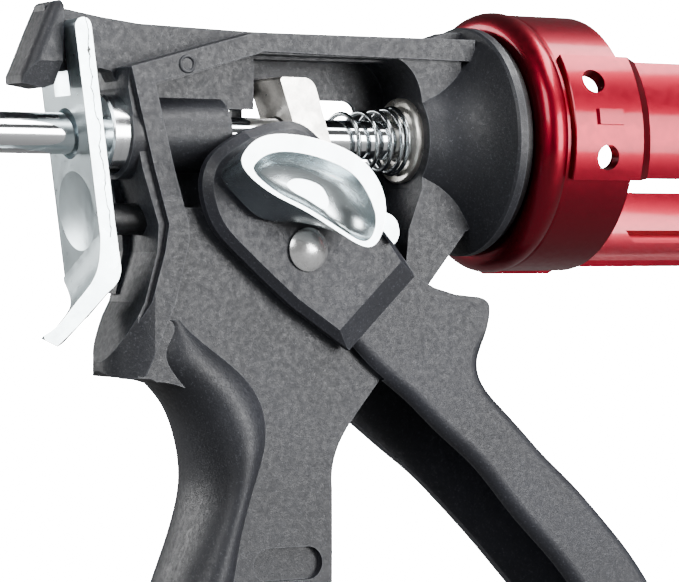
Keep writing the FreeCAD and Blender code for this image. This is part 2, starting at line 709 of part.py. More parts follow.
def lever_plate():
    """The flat plate behind the scoop, whose rounded end shows below its front."""
    outline = [
        ("line", [(-48.6, -6.4), (-47.0, -4.4), (-41.6, -4.6), (-37.5, -8.2), (-31.0, -14.4)]),
        ("curve", [(-28.1, -15.0), (-26.4, -15.9), (-25.2, -18.3), (-25.4, -20.0), (-26.4, -21.2)]),
        ("line", [(-29.8, -17.5), (-38.0, -15.6), (-46.6, -12.4), (-48.6, -6.4)]),
    ]
    body = slab("lever_plate_blank", outline, "[lever_plate_thickness]")
    middle = DIMENSIONS["lever_inner"] + DIMENSIONS["lever_plate_thickness"] / 2
    body.Placement = FreeCAD.Placement(VECTOR(0, -middle, 0), FreeCAD.Rotation())
    return cut("lever_plate", body, [lever_bore("lever_plate_bore")])


def release_upper():
    """The flat upper part of the release plate, down to the slanting bend."""
    outline = [
        ("line", [(-93.7, 20.1), (-90.3, 20.1), (-83.9, -28.4), (-87.3, -28.4), (-93.7, 20.1)]),
    ]
    below_bend = [
        ("line", [(-9.2, -19.2), (9.2, -28.0), (12.0, -29.3), (12.0, -50.0), (-12.0, -50.0)]),
        ("line", [(-12.0, -17.9), (-9.2, -19.2)]),
    ]
    lower = slab("below_bend", below_bend, "60", "YZ_Plane")
    lower.Placement = FreeCAD.Placement(VECTOR(-90, 0, 0), FreeCAD.Rotation())
    half = DIMENSIONS["release_width"] / 2
    top_edge = rod_along("release_top_edge", "Y", "[release_edge_radius]", "[release_width]",
                         ("-92.0", str(-half), "20.1"))
    return fuse("release_upper", [cut("release_flat_part", slab("release_flat", outline, "[release_width]"),
                                      [lower]), top_edge])


def release_tab():
    """The thumb tab, swept back in a curve below a bend that slants down towards the far side."""
    body = new_body("release_tab_profile")
    outline = [
        ("line", [(-85.1, -19.0), (-88.5, -19.0)]),
        ("curve", [(-88.5, -22.8), (-89.5, -27.2), (-93.5, -32.3), (-97.5, -36.7), (-100.3, -38.5)]),
        ("curve", [(-99.6, -39.9), (-97.4, -40.5)]),
        ("line", [(-93.5, -37.1), (-86.6, -30.2)]),
        ("curve", [(-84.5, -27.8), (-84.1, -25.8)]),
        ("line", [(-85.1, -19.0)]),
    ]
    sketch = trace(new_sketch(body, "release_tab_outline"), outline)
    sketch.Visibility = False
    DOCUMENT.recompute()
    bend_line = VECTOR(0.9, 18.4, -8.8)
    tab = DOCUMENT.addObject("Part::Extrusion", "release_tab_blank")
    tab.Base = sketch
    tab.DirMode = "Custom"
    tab.Dir = bend_line
    tab.LengthFwd = bend_line.Length
    tab.Solid = True
    tab.Placement = FreeCAD.Placement(VECTOR(0, -9.2, 0), FreeCAD.Rotation())
    trimmed = DOCUMENT.addObject("Part::Common", "release_tab")
    trimmed.Base = tab
    trimmed.Tool = tab_outline()
    return trimmed


def tab_outline():
    """The shape of the thumb tab seen square on, lower and rounder on the near side."""
    outline = [
        ("line", [(-12.0, 30.0), (12.0, 30.0), (12.0, 9.6), (9.2, 8.1)]),
        ("curve", [(5.8, 5.4), (3.1, 2.6), (1.7, -0.8), (-1.2, -3.9), (-4.0, -5.6), (-6.8, -6.7),
                   (-9.6, -7.0)]),
        ("line", [(-12.0, -7.0), (-12.0, 30.0)]),
    ]
    body = slab("tab_outline", outline, "60", "YZ_Plane")
    square_on = FreeCAD.Rotation(VECTOR(0, 1, 0), 25.2)
    body.Placement = FreeCAD.Placement(VECTOR(-95, 0, -34), square_on)
    return body


def release_dish():
    """The shallow round dish pressed in the rear face of the release plate."""
    radius = DIMENSIONS["dimple_radius"]
    depth = DIMENSIONS["dimple_depth"]
    profile = [
        ("line", [(-0.6, 0.0), (-0.6, radius), (0.0, radius)]),
        ("curve", [(depth * 0.45, radius * 0.74), (depth * 0.84, radius * 0.4), (depth, 0.0)]),
        ("line", [(-0.6, 0.0)]),
    ]
    dish = turned("release_dish", profile)
    lean = FreeCAD.Rotation(VECTOR(0, 1, 0), -7.5)
    dish.Placement = FreeCAD.Placement(VECTOR(-89.1, 0.0, -14.9), lean)
    return dish


def release_plate():
    """The bent steel plate that bites the rod and lets it go when its tab is pushed."""
    blank = fuse("release_bent", [release_upper(), release_tab()])
    slot = DOCUMENT.addObject("Part::Box", "release_slot")
    slot.Length = 16.0
    slot.Height = 20.0
    bind(slot, Width="[release_slot_width]", Placement__Base__x="-100",
         Placement__Base__y="-[release_slot_width] / 2", Placement__Base__z="[release_slot_floor]")
    hole = rod_along("release_hole", "X", "[release_hole_radius]", "20", ("-100", "0", "0"))
    return cut("release_plate", blank, [slot, hole, release_dish()])


def release_plunger():
    """The black plunger that pushes the release plate back."""
    rear, front, radius = (DIMENSIONS[name] for name in
                           ("plunger_rear", "plunger_front", "plunger_radius"))
    profile = [
        ("line", [(rear, 0.0), (rear, radius - 0.5), (rear + 0.5, radius), (front, radius)]),
        ("line", [(front, 0.0), (rear, 0.0)]),
    ]
    body = turned("release_plunger", profile)
    bind(body, Placement__Base__z="[plunger_z]")
    return body


def coil_spring(name, rear, front, turns, rear_radius, flare, wire, height):
    """A coil spring along X between two planes, its coils widening by flare degrees."""
    travel = front - rear - 2 * wire
    path = Part.makeHelix(travel / turns, travel, rear_radius, flare)
    start = Part.Wire(Part.Circle(VECTOR(rear_radius, 0, 0), VECTOR(0, 1, 0), wire).toShape())
    coil = path.makePipeShell([start], True, True)
    coil.Placement = FreeCAD.Placement(VECTOR(rear + wire, 0, height), FreeCAD.Rotation(VECTOR(0, 1, 0), 90))
    feature = DOCUMENT.addObject("Part::Feature", name)
    feature.Shape = coil
    return feature


def plunger_spring():
    """The small spring behind the plunger, in the frame's blind bore."""
    rear = DIMENSIONS["plunger_front"] + 0.1
    front = DIMENSIONS["plunger_bore_floor"] - 0.1
    return coil_spring("plunger_spring", rear, front, 6, 2.3, 0.0, 0.4, DIMENSIONS["plunger_z"])


def return_spring():
    """The wire spring that pushes the drive plate back."""
    wire = DIMENSIONS["spring_wire_radius"]
    rear = DIMENSIONS["spring_rear"]
    front = DIMENSIONS["spring_front"]
    return coil_spring("return_spring", rear, front, 6, DIMENSIONS["spring_rear_radius"], 6.4, wire, 0.0)


def drive_plate():
    """The thick leaning plate that grips the rod and drives it forward."""
    outline = [
        ("line", [(-47.6, 11.4), (-47.2, 11.9), (-42.0, 11.9)]),
        ("curve", [(-40.5, 11.3), (-39.4, 9.6)]),
        ("line", [(-32.2, -12.8), (-39.3, -12.8), (-47.6, 11.4)]),
    ]
    plate = slab("drive_blank", outline, "[drive_plate_width]")
    hole = rod_along("drive_hole", "X", "[drive_hole_radius]", "24", ("-56", "0", "0"))
    return cut("drive_plate", plate, [hole])


def push_rod():
    """The polished rod, with its pull hook at the rear and a threaded tip at the front."""
    straight = rod_along("rod_straight", "X", "[rod_radius]", "[rod_front] - [rod_rear]",
                         ("[rod_rear]", "0", "0"))
    bend = DOCUMENT.addObject("Part::Torus", "rod_bend")
    bind(bend, Radius1="[rod_hook_bend]", Radius2="[rod_radius]")
    bend.Angle3 = 90
    turn = FreeCAD.Rotation(VECTOR(0, 0, 1), VECTOR(-1, 0, 0), VECTOR(0, -1, 0), "XYZ")
    bend.Placement = FreeCAD.Placement(VECTOR(0, 0, 0), turn)
    bind(bend, Placement__Base__x="[rod_rear]", Placement__Base__z="-[rod_hook_bend]")
    drop = rod_along("rod_drop", "Z", "[rod_radius]", "[rod_hook_drop] - [rod_hook_bend]",
                     ("[rod_rear] - [rod_hook_bend]", "0", "-[rod_hook_drop]"))
    tip = DOCUMENT.addObject("Part::Sphere", "rod_tip")
    bind(tip, Radius="[rod_radius]", Placement__Base__x="[rod_rear] - [rod_hook_bend]",
         Placement__Base__z="-[rod_hook_drop]")
    return fuse("push_rod", [straight, bend, drop, tip])


def piston_disc():
    """The dished disc that pushes the plunger of the cartridge."""
    rear, radius, rod, gauge = (DIMENSIONS[name] for name in
                                ("piston_rear", "piston_radius", "rod_radius", "piston_thickness"))
    front = rear + 5.0
    profile = [
        ("line", [(rear, rod), (rear, 15.0), (rear + 1.2, 17.0), (rear + 1.2, radius - 1.1)]),
        ("curve", [(rear + 1.8, radius - 0.3), (rear + 2.8, radius)]),
        ("line", [(front, radius), (front, radius - 1.5), (rear + 1.2 + gauge, radius - 1.5)]),
        ("line", [(rear + 1.2 + gauge, 17.6), (rear + gauge, 15.6), (rear + gauge, rod), (rear, rod)]),
    ]
    return turned("piston_disc", profile)


def piston_washer():
    """The washer between the piston disc and its nut."""
    rear = DIMENSIONS["piston_rear"] + DIMENSIONS["piston_thickness"]
    front = rear + DIMENSIONS["piston_washer_thickness"]
    bore = DIMENSIONS["rod_radius"]
    outer = DIMENSIONS["piston_washer_radius"]
    profile = [("line", [(rear, bore), (rear, outer), (front, outer), (front, bore), (rear, bore)])]
    return turned("piston_washer", profile)


def piston_nut():
    """The hexagon nut that holds the piston on the rod."""
    rear = (DIMENSIONS["piston_rear"] + DIMENSIONS["piston_thickness"]
            + DIMENSIONS["piston_washer_thickness"])
    body = new_body("piston_nut_body")
    sketch = new_sketch(body, "nut_outline", "YZ_Plane", rear)
    radius = DIMENSIONS["nut_across_flats"] / 2 / math.cos(math.pi / 6)
    corners = [(radius * math.cos(math.pi / 3 * n), radius * math.sin(math.pi / 3 * n)) for n in range(6)]
    trace(sketch, [("line", corners)])
    extrude(body, "Pad", "nut_pad", sketch, "[nut_height]", symmetric=False)
    bore = rod_along("nut_bore", "X", "[rod_radius]", "12", ("8", "0", "0"))
    return cut("piston_nut", body, [bore])


def swivel_washer():
    """The black washer in the gap between the flange and the cradle."""
    bore = DIMENSIONS["hub_radius"] + 0.05
    outer = DIMENSIONS["washer_radius"]
    front = DIMENSIONS["washer_thickness"]
    profile = [("line", [(0.0, bore), (0.0, outer), (front, outer), (front, bore), (0.0, bore)])]
    return turned("swivel_washer", profile)


def swivel_keeper():
    """The steel ring inside the cup that keeps the cradle on the hub."""
    rear = DIMENSIONS["hub_length"]
    front = rear + DIMENSIONS["keeper_thickness"]
    bore = DIMENSIONS["bush_spigot_radius"] + 0.5
    outer = DIMENSIONS["keeper_radius"]
    profile = [("line", [(rear, bore), (rear, outer), (front, outer), (front, bore), (rear, bore)])]
    ring = turned("keeper_ring", profile)
    holes = [screw_cylinder("keeper_hole", n, "[swivel_screw_radius]", "4", "3") for n in range(3)]
    return cut("swivel_keeper", ring, holes)


def screw_cylinder(name, number, radius, length, rear):
    """A cylinder along X at one of the three keeper screws."""
    angle = math.radians(90 + 120 * number)
    across = "[swivel_screw_circle] * %.6f" % math.cos(angle)
    height = "[swivel_screw_circle] * %.6f" % math.sin(angle)
    return rod_along(name, "X", radius, length, (rear, across, height))


def swivel_screws():
    """The three pan-head screws that hold the keeper to the hub."""
    pieces = []
    for number in range(3):
        pieces.append(screw_cylinder("screw_shank", number, "[swivel_screw_radius]", "12.5", "-6"))
        pieces.append(screw_cylinder("screw_head", number, "[swivel_head_radius]", "[swivel_head_height]",
                                     "[hub_length] + [keeper_thickness]"))
    return fuse("swivel_screws", pieces)


def radial_cylinder(name, x, degrees, radius, inner, outer):
    """A cylinder standing out from the rod's axis at an angle measured from +Y towards +Z."""
    cylinder = DOCUMENT.addObject("Part::Cylinder", name)
    bind(cylinder, Radius=radius)
    cylinder.Height = outer - inner
    direction = VECTOR(0, math.cos(math.radians(degrees)), math.sin(math.radians(degrees)))
    turn = FreeCAD.Rotation(VECTOR(0, 0, 1), direction)
    cylinder.Placement = FreeCAD.Placement(VECTOR(x, 0, 0) + direction * inner, turn)
    return cylinder


def strap_holes(prefix):
    """The two round holes through the side strap and the cup."""
    return [radial_cylinder(prefix + "_hole_upper", 14.8, 154.8, "[rail_hole_radius]", 20, 32),
            radial_cylinder(prefix + "_hole_lower", 16.8, 187.4, "[rail_hole_radius]", 20, 32)]


def rear_cup():
    """The pressed cup that swivels on the hub, with a rolled bead at its rear."""
    names = ("cup_rear", "cup_front", "cup_radius", "cup_bore_radius", "cup_hub_bore")
    rear, front, outer, inner, hub = (DIMENSIONS[name] for name in names)
    profile = [
        ("line", [(rear, hub), (rear, outer - 3.2)]),
        ("curve", [(rear + 0.4, outer - 1.6), (rear + 1.4, outer - 0.3), (rear + 2.8, outer + 0.3),
                   (rear + 4.2, outer + 0.3), (rear + 5.4, outer - 0.1)]),
        ("line", [(rear + 6.0, outer), (front, outer), (front, inner)]),
        ("line", [(rear + 1.5, inner), (rear + 1.5, hub), (rear, hub)]),
    ]
    return cut("rear_cup", turned("cup_blank", profile), strap_holes("cup"))


def joggled_rail(name, start, sweep):
    """A curved rail whose rear end steps out over the cup as a strap."""
    end, outer, inner = (DIMENSIONS[name] for name in ("rail_end", "cup_radius", "cup_bore_radius"))
    strap = outer + DIMENSIONS["sheet_thickness"]
    profile = [
        ("line", [(8.6, outer), (8.6, strap - 0.2), (8.8, strap), (25.4, strap), (28.2, inner + 1.4)]),
        ("line", [(end, inner + 1.4), (end, inner), (26.6, inner), (24.2, outer), (8.6, outer)]),
    ]
    return around_x(turned(name, profile, sweep), start)


def side_rail():
    """The near side rail, with two holes and an embossed slot on its strap."""
    rail = joggled_rail("side_rail_blank", SIDE_RAIL_START, SIDE_RAIL_SWEEP)
    profile = [("line", [(13.8, 28.0), (14.3, 28.9), (20.2, 28.9), (20.7, 28.0), (13.8, 28.0)])]
    boss = around_x(turned("strap_emboss", profile, 6.4), 167.4)
    return cut("side_rail", fuse("side_rail_whole", [rail, boss]),
               strap_holes("rail") + rivet_shanks("side_rail_rivet_hole", 24, 30))


def lower_rail():
    """The lower rail on the far side, with a lengthwise pressed rib."""
    rail = joggled_rail("lower_rail_blank", LOWER_RAIL_START, LOWER_RAIL_SWEEP)
    profile = [("line", [(52.0, 26.4), (54.0, 27.8), (202.0, 27.8), (204.0, 26.4), (52.0, 26.4)])]
    rib = around_x(turned("lower_rail_rib", profile, 13.0), LOWER_RAIL_START + 20.0)
    hollow = [("line", [(54.0, 25.0), (55.5, 26.5), (200.5, 26.5), (202.0, 25.0), (54.0, 25.0)])]
    groove = around_x(turned("lower_rail_groove", hollow, 10.0), LOWER_RAIL_START + 21.5)
    return cut("lower_rail", fuse("lower_rail_whole", [rail, rib]),
               [groove] + rivet_shanks("lower_rail_rivet_hole", 24, 30))


def wedge(name, start, end, inner, outer, rear, front):
    """A sector-shaped block about the rod's axis."""
    profile = [("line", [(rear, inner), (rear, outer), (front, outer), (front, inner), (rear, inner)])]
    return around_x(turned(name, profile, end - start), start)


def front_cap():
    """The front plate of the cradle, with a slot for the cartridge's nozzle."""
    profile = [
        ("line", [(221.5, 0.0), (221.5, 28.1), (212.0, 28.1), (212.0, 26.7), (220.0, 26.7)]),
        ("line", [(220.0, 0.0), (221.5, 0.0)]),
    ]
    cap = turned("cap_blank", profile)
    gap = wedge("cap_gap", LOADING_GAP_START, LOADING_GAP_END, 25.3, 32.0, 205.0, 230.0)
    slot = DOCUMENT.addObject("Part::Box", "nozzle_slot")
    slot.Length = 20.0
    slot.Height = 40.0
    slot_turn = FreeCAD.Rotation(VECTOR(1, 0, 0), (LOADING_GAP_START + LOADING_GAP_END) / 2 - 90)
    bind(slot, Width="[nozzle_slot_width]")
    half = DIMENSIONS["nozzle_slot_width"] / 2
    slot.Placement = FreeCAD.Placement(slot_turn.multVec(VECTOR(210, -half, 0)), slot_turn)
    round_end = rod_along("nozzle_round", "X", "[nozzle_slot_width] / 2", "20", ("210", "0", "0"))
    lower_slot = wedge("cap_side_relief", 205.0, 275.0, 26.0, 32.0, 205.0, 219.9)
    rails = [wedge("cap_side_notch", SIDE_RAIL_START, SIDE_RAIL_START + SIDE_RAIL_SWEEP,
                   25.3, 26.7, 205.0, 222.5),
             wedge("cap_lower_notch", LOWER_RAIL_START, LOWER_RAIL_START + LOWER_RAIL_SWEEP,
                   25.3, 26.7, 205.0, 222.5)]
    holes = rivet_shanks("cap_rivet_hole", 24, 30)
    return cut("front_cap", cap, [gap, slot, round_end, lower_slot] + rails + holes)


def rivet_shanks(prefix, inner, outer):
    """Cylinders at the four cap rivets, two through each rail."""
    return [radial_cylinder("%s_%d" % (prefix, number), CAP_RIVET_X, degrees,
                            "[rail_rivet_radius]", inner, outer)
            for number, degrees in enumerate(CAP_RIVET_ANGLES)]


def cap_rivets():
    """The four rivets that join the rails to the front cap."""
    heads = [radial_cylinder("cap_rivet_head_%d" % number, CAP_RIVET_X, degrees, "2.8", 28.3, 29.2)
             for number, degrees in enumerate(CAP_RIVET_ANGLES)]
    return fuse("cap_rivets", rivet_shanks("cap_rivet", 25.4, 28.6) + heads)


def finish(node, thing):
    """Check a finished sub-part, label it and write its STEP file."""
    thing.Label = node
    thing.Visibility = True
    DOCUMENT.recompute()
    shape = thing.Shape
    if shape.isNull() or not shape.isValid() or not shape.Solids:
        raise RuntimeError("bad shape: " + node)
    shape.exportStep(os.path.join(PARTS_FOLDER, node + ".step"))
    box = shape.BoundBox
    print("%-16s solids %d  volume %9.1f  x %.1f..%.1f y %.1f..%.1f z %.1f..%.1f" % (
        node, len(shape.Solids), shape.Volume, box.XMin, box.XMax, box.YMin, box.YMax, box.ZMin, box.ZMax))


def check_states():
    """Stop if any document object failed to compute."""
    for thing in DOCUMENT.Objects:
        if "Invalid" in thing.State or "Error" in thing.State:
            raise RuntimeError("failed object: " + thing.Name)


def main():
    os.makedirs(PARTS_FOLDER, exist_ok=True)
    fill_sheet()
    makers = [body_frame, rear_bush, front_bush, spring_seat, trigger_pin, release_plunger, plunger_spring,
              release_plate, push_rod, piston_disc, piston_washer, piston_nut, drive_plate, return_spring,
              trigger, drive_pin, thumb_lever, lever_plate, swivel_washer, swivel_keeper, swivel_screws,
              rear_cup, side_rail, lower_rail, front_cap, cap_rivets]
    for maker in makers:
        finish(maker.__name__, maker())
    check_states()


main()
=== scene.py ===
import json
import math

import bpy
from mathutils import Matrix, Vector


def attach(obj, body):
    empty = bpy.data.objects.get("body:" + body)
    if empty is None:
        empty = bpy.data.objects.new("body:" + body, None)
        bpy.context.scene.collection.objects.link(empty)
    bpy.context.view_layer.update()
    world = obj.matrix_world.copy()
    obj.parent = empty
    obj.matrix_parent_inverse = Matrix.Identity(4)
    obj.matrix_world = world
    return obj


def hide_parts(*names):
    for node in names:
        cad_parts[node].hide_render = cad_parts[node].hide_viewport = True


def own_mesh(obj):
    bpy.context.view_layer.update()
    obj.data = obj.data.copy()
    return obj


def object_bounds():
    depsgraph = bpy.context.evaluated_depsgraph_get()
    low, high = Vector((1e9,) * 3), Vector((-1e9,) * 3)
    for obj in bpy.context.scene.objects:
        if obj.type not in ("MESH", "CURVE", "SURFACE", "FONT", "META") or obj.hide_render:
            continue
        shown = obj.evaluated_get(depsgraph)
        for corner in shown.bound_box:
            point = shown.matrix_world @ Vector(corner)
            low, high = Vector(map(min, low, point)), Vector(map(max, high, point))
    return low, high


# A caulking gun: a moulded black frame and trigger, zinc-plated plates, a polished rod and a
# red metallic cradle. Metres, +X forward along the rod, +Z up, origin on the flange's face.

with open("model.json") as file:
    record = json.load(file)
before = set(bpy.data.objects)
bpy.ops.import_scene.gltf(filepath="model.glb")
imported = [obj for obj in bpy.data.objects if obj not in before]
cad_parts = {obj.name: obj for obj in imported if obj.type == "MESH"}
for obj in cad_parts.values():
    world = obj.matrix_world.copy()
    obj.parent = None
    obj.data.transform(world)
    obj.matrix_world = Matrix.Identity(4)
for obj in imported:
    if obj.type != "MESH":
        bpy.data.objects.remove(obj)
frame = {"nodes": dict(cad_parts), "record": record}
CAD_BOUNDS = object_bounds()
NODES = frame["nodes"]
MM = 0.001


# ---------------------------------------------------------------- materials


class Shader:
    """A small builder for one node material on a Principled shader."""

    def __init__(self, name, colour, metallic=0.0, roughness=0.5):
        self.material = bpy.data.materials.new(name)
        self.material.use_nodes = True
        self.tree = self.material.node_tree
        self.nodes = self.tree.nodes
        self.links = self.tree.links
        self.principled = self.nodes["Principled BSDF"]
        self.set("Base Color", (*colour, 1.0))
        self.set("Metallic", metallic)
        self.set("Roughness", roughness)
        self.normal = None
        self.place = self.nodes.new("ShaderNodeTexCoord").outputs["Object"]

    def set(self, socket, value):
        """Set a constant on the shader's own socket."""
        self.principled.inputs[socket].default_value = value

    def link(self, output, socket):
        """Drive one of the shader's sockets."""
        self.links.new(output, self.principled.inputs[socket])

    def stretched(self, scale):
        """Object coordinates scaled by three factors."""
        mapping = self.nodes.new("ShaderNodeMapping")
        mapping.inputs["Scale"].default_value = scale
        self.links.new(self.place, mapping.inputs["Vector"])
        return mapping.outputs["Vector"]

    def noise(self, scale, detail=3.0, rough=0.55, stretch=(1, 1, 1)):
        """Noise of about one feature in 1/scale metres."""
        node = self.nodes.new("ShaderNodeTexNoise")
        node.inputs["Scale"].default_value = scale
        node.inputs["Detail"].default_value = detail
        node.inputs["Roughness"].default_value = rough
        self.links.new(self.stretched(stretch), node.inputs["Vector"])
        return node.outputs["Fac"]

    def cells(self, scale):
        """Distance to the nearest of scattered points."""
        node = self.nodes.new("ShaderNodeTexVoronoi")
        node.inputs["Scale"].default_value = scale
        self.links.new(self.stretched((1, 1, 1)), node.inputs["Vector"])
        return node.outputs["Distance"]

    def ramp(self, value, low, high, start=0.35, end=0.65):
        """A grey or coloured ramp between two values."""
        node = self.nodes.new("ShaderNodeValToRGB")
        node.color_ramp.elements[0].position = start
        node.color_ramp.elements[1].position = end
        node.color_ramp.elements[0].color = self.rgba(low)
        node.color_ramp.elements[1].color = self.rgba(high)
        self.links.new(value, node.inputs["Fac"])
        return node.outputs["Color"]

    @staticmethod
    def rgba(value):
        """A grey or a colour, with full opacity."""
        if isinstance(value, (int, float)):
            return (value, value, value, 1.0)
        return (*value, 1.0)

    def mix(self, mask, under, over):
        """Mix two colours by a mask."""
        node = self.nodes.new("ShaderNodeMix")
        node.data_type = "RGBA"
        self.links.new(mask, node.inputs["Factor"])
        for socket, value in ((node.inputs["A"], under), (node.inputs["B"], over)):
            if isinstance(value, bpy.types.NodeSocket):
                self.links.new(value, socket)
            else:
                socket.default_value = self.rgba(value)
        return node.outputs["Result"]

    def edges(self, width):
        """A mask that is bright along edges, where the rounded normal turns from the true one."""
        geometry = self.nodes.new("ShaderNodeNewGeometry")
        bevel = self.nodes.new("ShaderNodeBevel")
        bevel.samples = 4
        bevel.inputs["Radius"].default_value = width
        dot = self.nodes.new("ShaderNodeVectorMath")
        dot.operation = "DOT_PRODUCT"
        self.links.new(bevel.outputs["Normal"], dot.inputs[0])
        self.links.new(geometry.outputs["Normal"], dot.inputs[1])
        fully_turned, barely_turned = 0.86, 0.985
        return self.ramp(dot.outputs["Value"], 1.0, 0.0, fully_turned, barely_turned)

    def white_to_camera(self, strength):
        """Make the surface plain white where the camera sees it directly."""
        glow = self.nodes.new("ShaderNodeEmission")
        glow.inputs["Strength"].default_value = strength
        path = self.nodes.new("ShaderNodeLightPath")
        pick = self.nodes.new("ShaderNodeMixShader")
        self.links.new(path.outputs["Is Camera Ray"], pick.inputs["Fac"])
        self.links.new(self.principled.outputs["BSDF"], pick.inputs[1])
        self.links.new(glow.outputs["Emission"], pick.inputs[2])
        self.links.new(pick.outputs["Shader"], self.nodes["Material Output"].inputs["Surface"])

    def bump(self, height, strength, distance):
        """Add one layer of bump."""
        node = self.nodes.new("ShaderNodeBump")
        node.inputs["Strength"].default_value = strength
        node.inputs["Distance"].default_value = distance
        self.links.new(height, node.inputs["Height"])
        if self.normal is not None:
            self.links.new(self.normal, node.inputs["Normal"])
        self.normal = node.outputs["Normal"]
        self.link(self.normal, "Normal")


def scaled(colour, share):
    """A colour made darker or lighter by a share."""
    return tuple(c * share for c in colour)


def nylon(name, colour, worn):
    """Glass-filled nylon: a fine spark-eroded grain with pale glass specks and rubbed edges."""
    shader = Shader(name, colour, roughness=0.5)
    specks = shader.ramp(shader.noise(2300, 4.0, 0.7), 0.0, 1.0, 0.57, 0.70)
    cloud = shader.ramp(shader.noise(60, 3.0), scaled(colour, 0.84), scaled(colour, 1.18))
    glass = tuple(c * 2.6 + 0.02 for c in colour)
    base = shader.mix(specks, cloud, glass)
    rubbed = shader.mix(shader.edges(0.0005), base, worn)
    shader.link(rubbed, "Base Color")
    shader.link(shader.ramp(shader.noise(900, 4.0), 0.40, 0.56), "Roughness")
    shader.bump(shader.noise(1500, 5.0, 0.7), 0.55, 0.00013)
    shader.bump(shader.noise(110, 2.0), 0.10, 0.0003)
    shader.set("Specular IOR Level", 0.42)
    return shader.material


def red_paint():
    """Metallic red lacquer: a fine flake coat over a deep base, under a clear coat."""
    colour = (0.23, 0.004, 0.017)
    shader = Shader("candy_red", colour, metallic=1.0, roughness=0.3)
    flakes = shader.ramp(shader.cells(9000), (0.32, 0.008, 0.028), colour, 0.10, 0.42)
    depth = shader.ramp(shader.noise(30, 3.0), 0.0, 0.6, 0.3, 0.7)
    dark = shader.mix(depth, flakes, (0.20, 0.002, 0.013))
    shader.link(dark, "Base Color")
    shader.link(shader.ramp(shader.noise(700, 3.0), 0.34, 0.42), "Roughness")
    shader.bump(shader.noise(420, 3.0), 0.03, 0.0002)
    shader.set("Coat Weight", 0.35)
    shader.set("Coat Roughness", 0.12)
    return shader.material


def zinc(name, colour, rough, bump):
    """Bright zinc plate: faint cloudy patches, small pits and a fine grain."""
    shader = Shader(name, colour, metallic=1.0, roughness=rough)
    cloud = shader.ramp(shader.noise(120, 5.0, 0.6), scaled(colour, 0.90), colour, 0.36, 0.60)
    pits = shader.ramp(shader.noise(2200, 4.0, 0.7), 1.0, 0.0, 0.26, 0.34)
    stained = shader.mix(pits, cloud, scaled(colour, 0.6))
    polished_edge = (0.92, 0.94, 0.95)
    shader.link(shader.mix(shader.edges(0.0003), stained, polished_edge), "Base Color")
    shader.link(shader.ramp(shader.noise(500, 4.0), rough * 0.9, rough * 1.15, 0.3, 0.7), "Roughness")
    shader.bump(shader.noise(1400, 4.0), bump, 0.00006)
    shader.bump(shader.noise(160, 2.0), bump * 0.4, 0.0003)
    return shader.material


def sheared_zinc():
    """Plate zinc with a dark tear line, which wanders along the release plate's sheared right edge."""
    lean = 0.132
    middle_behind_origin = 0.0888
    sway = 0.0030
    half_width = 0.00011
    edge_y = -0.00905
    lower_end_z = -0.020
    tear_colour = (0.02, 0.02, 0.02, 1.0)
    material = zinc("zinc_plate", (0.74, 0.85, 0.88), 0.30, 0.10)
    tree = material.node_tree
    principled = tree.nodes["Principled BSDF"]

    def number(operation, first, second):
        """One step of arithmetic between two values or sockets."""
        node = tree.nodes.new("ShaderNodeMath")
        node.operation = operation
        for socket, value in zip(node.inputs, (first, second)):
            if isinstance(value, bpy.types.NodeSocket):
                tree.links.new(value, socket)
            else:
                socket.default_value = value
        return node.outputs["Value"]

    place = tree.nodes.new("ShaderNodeTexCoord").outputs["Object"]
    parts = tree.nodes.new("ShaderNodeSeparateXYZ")
    tree.links.new(place, parts.inputs["Vector"])
    wander = tree.nodes.new("ShaderNodeTexNoise")
    wander.inputs["Scale"].default_value = 260
    wander.inputs["Detail"].default_value = 4.0
    tree.links.new(place, wander.inputs["Vector"])
    leaning = number("MULTIPLY", parts.outputs["Z"], lean)
    from_middle = number("ADD", number("ADD", parts.outputs["X"], leaning), middle_behind_origin)
    drift = number("MULTIPLY", number("SUBTRACT", wander.outputs["Fac"], 0.5), sway)
    distance = number("ABSOLUTE", number("ADD", from_middle, drift), 0.0)
    line = number("LESS_THAN", distance, half_width)
    right_side = number("LESS_THAN", parts.outputs["Y"], edge_y)
    upper = number("GREATER_THAN", parts.outputs["Z"], lower_end_z)
    tear = number("MULTIPLY", line, number("MULTIPLY", right_side, upper))
    old = principled.inputs["Base Color"].links[0].from_socket
    mix = tree.nodes.new("ShaderNodeMix")
    mix.data_type = "RGBA"
    tree.links.new(tear, mix.inputs["Factor"])
    tree.links.new(old, mix.inputs["A"])
    mix.inputs["B"].default_value = tear_colour
    tree.links.new(mix.outputs["Result"], principled.inputs["Base Color"])
    return material


def polished(name, colour, rough, stretch):
    """Drawn or turned bright steel with faint lines along or round it."""
    shader = Shader(name, colour, metallic=1.0, roughness=rough)
    lines = shader.noise(900, 4.0, 0.6, stretch)
    shader.link(shader.ramp(lines, scaled(colour, 0.86), colour, 0.3, 0.6), "Base Color")
    shader.link(shader.ramp(lines, rough * 0.7, rough * 1.7, 0.3, 0.7), "Roughness")
    shader.bump(lines, 0.06, 0.00005)
    return shader.material


def sintered(name, colour, rough):
    """Warm grey pressed steel with a fine open grain."""
    shader = Shader(name, colour, metallic=0.85, roughness=rough)
    grain = shader.noise(1400, 5.0, 0.7)
    shader.link(shader.ramp(grain, scaled(colour, 0.78), colour, 0.32, 0.58), "Base Color")
    shader.link(shader.ramp(shader.noise(260, 3.0), rough * 0.8, rough * 1.3), "Roughness")
    shader.bump(grain, 0.2, 0.00006)
    return shader.material


